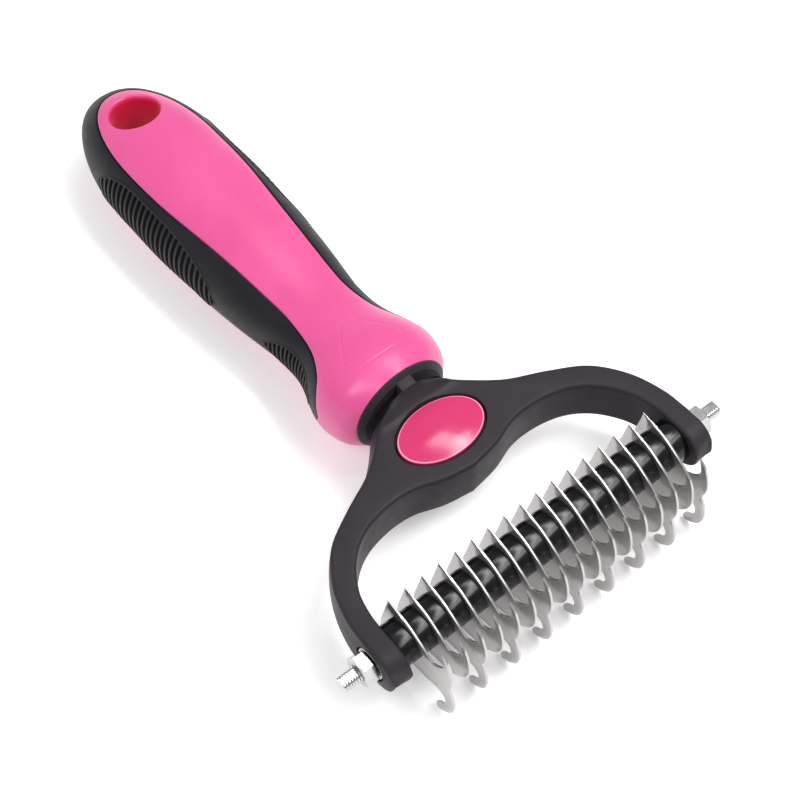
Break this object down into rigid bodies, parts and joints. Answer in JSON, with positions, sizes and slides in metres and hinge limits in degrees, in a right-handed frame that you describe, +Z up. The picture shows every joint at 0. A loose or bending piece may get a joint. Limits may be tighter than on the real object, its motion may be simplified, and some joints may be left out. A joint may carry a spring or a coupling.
{
  "type": "undercoat rake",
  "caption": "Two-sided pet grooming rake: curved steel blades and sleeves on an axle in a dark forked head, on a pink handle with a black soft-grip band and a hanging hole.",
  "frame": {"origin": "under the middle of the whole tool, at the level of its lowest points, which are the tips of the long blades", "axes": "+Y along the handle from the blades to the hanging hole, +X along the blade axle, +Z up through the badge face"},
  "size_m": [0.1114, 0.187, 0.0294],
  "materials": {
    "pink_plastic": "satin moulded polypropylene",
    "badge_plastic": "polished",
    "black_rubber": "matte soft-grip rubber with rib lines",
    "frame_plastic": "satin moulded nylon",
    "sleeve_plastic": "glossy",
    "blade_steel": "stamped stainless, ground edges",
    "zinc_steel": "bright zinc plating"
  },
  "bodies": {
    "tool": {"handle_core": "pink_plastic", "grip_overmould": "black_rubber", "head_frame": "frame_plastic", "badge": "badge_plastic", "axle": "zinc_steel", "long_blade_1": "blade_steel", "short_blade_1": "blade_steel", "long_blade_2": "blade_steel", "short_blade_2": "blade_steel", "long_blade_3": "blade_steel", "short_blade_3": "blade_steel", "long_blade_4": "blade_steel", "short_blade_4": "blade_steel", "long_blade_5": "blade_steel", "short_blade_5": "blade_steel", "long_blade_6": "blade_steel", "short_blade_6": "blade_steel", "long_blade_7": "blade_steel", "short_blade_7": "blade_steel", "long_blade_8": "blade_steel", "short_blade_8": "blade_steel", "long_blade_9": "blade_steel", "end_spacer_left": "sleeve_plastic", "end_spacer_right": "sleeve_plastic", "spacer_01": "sleeve_plastic", "spacer_02": "sleeve_plastic", "spacer_03": "sleeve_plastic", "spacer_04": "sleeve_plastic", "spacer_05": "sleeve_plastic", "spacer_06": "sleeve_plastic", "spacer_07": "sleeve_plastic", "spacer_08": "sleeve_plastic", "spacer_09": "sleeve_plastic", "spacer_10": "sleeve_plastic", "spacer_11": "sleeve_plastic", "spacer_12": "sleeve_plastic", "spacer_13": "sleeve_plastic", "spacer_14": "sleeve_plastic", "spacer_15": "sleeve_plastic", "spacer_16": "sleeve_plastic"},
    "left_washer": {"washer_left": "zinc_steel"},
    "right_washer": {"washer_right": "zinc_steel"},
    "left_nut": {"nut_left": "zinc_steel"},
    "right_nut": {"nut_right": "zinc_steel"}
  },
  "joints": [
    {"name": "left_washer_slide", "type": "slide", "parent": "tool", "child": "left_washer", "axis": [-1, 0, 0], "range_m": [0, 0.0042]},
    {"name": "left_nut_turn", "type": "hinge", "parent": "left_washer", "child": "left_nut", "pos_m": [-0.0495, -0.077, 0.0159], "axis": [-1, 0, 0], "range_deg": [0, 2160]},
    {"name": "right_washer_slide", "type": "slide", "parent": "tool", "child": "right_washer", "axis": [1, 0, 0], "range_m": [0, 0.0042]},
    {"name": "right_nut_turn", "type": "hinge", "parent": "right_washer", "child": "right_nut", "pos_m": [0.0495, -0.077, 0.0159], "axis": [1, 0, 0], "range_deg": [0, 2160]}
  ],
  "couplings": [
    {"joint": "left_nut_turn", "follows": "left_washer_slide", "rad_per_m": 8976},
    {"joint": "right_nut_turn", "follows": "right_washer_slide", "rad_per_m": 8976}
  ]
}
